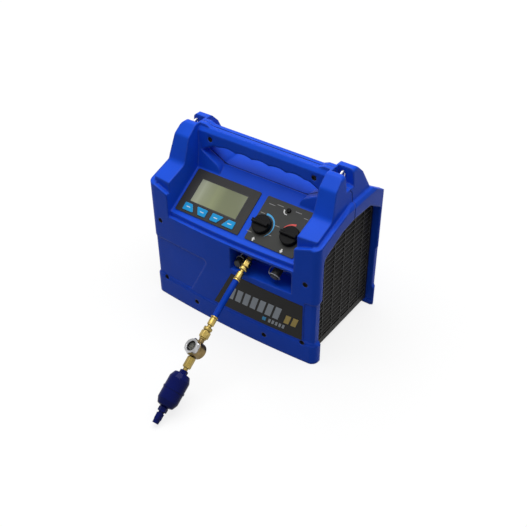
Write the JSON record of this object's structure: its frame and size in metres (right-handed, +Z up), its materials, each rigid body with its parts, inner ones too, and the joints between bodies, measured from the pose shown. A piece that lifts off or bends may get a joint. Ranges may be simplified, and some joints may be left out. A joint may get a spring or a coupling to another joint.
{
  "type": "refrigerant recovery machine",
  "caption": "Portable refrigerant recovery machine: blue moulded case with a handle, louvred sides, a sloping deck with display and valve knobs, and a charging hose with filter drier.",
  "frame": {"origin": "on the ground, under the middle of the case (the hose and what hangs on it are left out)", "axes": "+X to the right across the front, +Y to the rear, +Z up; the front with the ports faces -Y"},
  "size_m": [0.409, 0.5495, 0.377],
  "materials": {
    "shell_blue": "satin",
    "grille_black": "matt",
    "tray_black": "powder coated",
    "wire_steel": "polished wire",
    "screw_steel": "blackened",
    "bezel_black": "fine matt",
    "display_glass": "glossy",
    "module_grey": "satin",
    "board_green": "satin",
    "key_cyan": "satin",
    "panel_grey": "satin",
    "knob_black": "satin",
    "brass": "machined",
    "brass_dark": "machined",
    "aluminium": "cast",
    "cap_black": "matt",
    "tether_grey": "satin",
    "hose_blue": "satin",
    "chrome": "polished",
    "sight_lens": "clear",
    "filter_navy": "gloss",
    "bracket_steel": "satin",
    "mount_rubber": "matt",
    "motor_dark": "satin",
    "copper": "drawn copper"
  },
  "bodies": {
    "case": {"front_shell": "shell_blue", "rear_shell": "shell_blue", "base_tray": "tray_black", "left_grille": "grille_black", "right_grille": "grille_black", "left_strap_eye": "wire_steel", "right_strap_eye": "wire_steel", "front_screws": "screw_steel", "rear_screws": "screw_steel", "display_bezel": "bezel_black", "display_window": "display_glass", "display_module": "module_grey", "display_board": "board_green", "valve_panel": "panel_grey", "valve_block": "aluminium", "button_switch": "bezel_black", "inlet_port": "brass", "outlet_port": "brass", "inlet_cap": "cap_black", "inlet_tether": "tether_grey", "outlet_tether": "tether_grey", "hose_nut_upper": "brass", "hose_ferrule_upper": "brass", "charging_hose": "hose_blue", "hose_ferrule_lower": "brass", "hose_nut_lower": "brass", "sight_glass_body": "brass_dark", "sight_glass_ring": "chrome", "sight_glass_lens": "sight_lens", "filter_nut": "brass", "filter_drier": "filter_navy", "filter_cap": "filter_navy", "compressor_bracket": "bracket_steel", "rubber_mounts": "mount_rubber", "drive_motor": "motor_dark", "compressor_crankcase": "aluminium", "cylinder_head": "aluminium", "condenser_coil": "aluminium", "fan_shroud": "grille_black", "fan_motor": "motor_dark", "fan_bracket": "bracket_steel", "suction_line": "copper", "discharge_line": "copper", "return_line": "copper", "control_board": "board_green", "pressure_sensors": "brass", "power_inlet": "bezel_black"},
    "inlet_valve": {"inlet_knob": "knob_black", "inlet_stem": "brass"},
    "outlet_valve": {"outlet_knob": "knob_black", "outlet_stem": "brass"},
    "key_1": {"key_1": "key_cyan"},
    "key_2": {"key_2": "key_cyan"},
    "key_3": {"key_3": "key_cyan"},
    "key_4": {"key_4": "key_cyan"},
    "push_button": {"push_button": "knob_black"},
    "fan": {"fan_rotor": "grille_black"},
    "outlet_cap": {"outlet_cap": "cap_black"}
  },
  "joints": [
    {"name": "inlet_valve_turn", "type": "hinge", "parent": "case", "child": "inlet_valve", "pos_m": [0.0485, -0.07656, 0.24846], "axis": [0, 0.5519, -0.8339], "range_deg": [0, 180]},
    {"name": "outlet_valve_turn", "type": "hinge", "parent": "case", "child": "outlet_valve", "pos_m": [0.1135, -0.07656, 0.24846], "axis": [0, 0.5519, -0.8339], "range_deg": [0, 180]},
    {"name": "key_1_press", "type": "slide", "parent": "case", "child": "key_1", "axis": [0, 0.5519, -0.8339], "range_m": [0, 0.0008], "stiffness_N_per_m": 1200},
    {"name": "key_2_press", "type": "slide", "parent": "case", "child": "key_2", "axis": [0, 0.5519, -0.8339], "range_m": [0, 0.0008], "stiffness_N_per_m": 1200},
    {"name": "key_3_press", "type": "slide", "parent": "case", "child": "key_3", "axis": [0, 0.5519, -0.8339], "range_m": [0, 0.0008], "stiffness_N_per_m": 1200},
    {"name": "key_4_press", "type": "slide", "parent": "case", "child": "key_4", "axis": [0, 0.5519, -0.8339], "range_m": [0, 0.0008], "stiffness_N_per_m": 1200},
    {"name": "push_button_press", "type": "slide", "parent": "case", "child": "push_button", "axis": [0, 0.5519, -0.8339], "range_m": [0, 0.002], "stiffness_N_per_m": 700},
    {"name": "fan_spin", "type": "hinge", "parent": "case", "child": "fan", "pos_m": [0.1255, 0, 0.096], "axis": [1, 0, 0], "continuous": true},
    {"name": "outlet_cap_turn", "type": "hinge", "parent": "case", "child": "outlet_cap", "pos_m": [0.108, -0.09944, 0.1935], "axis": [0, -0.866, -0.5], "range_deg": [0, 360]}
  ]
}
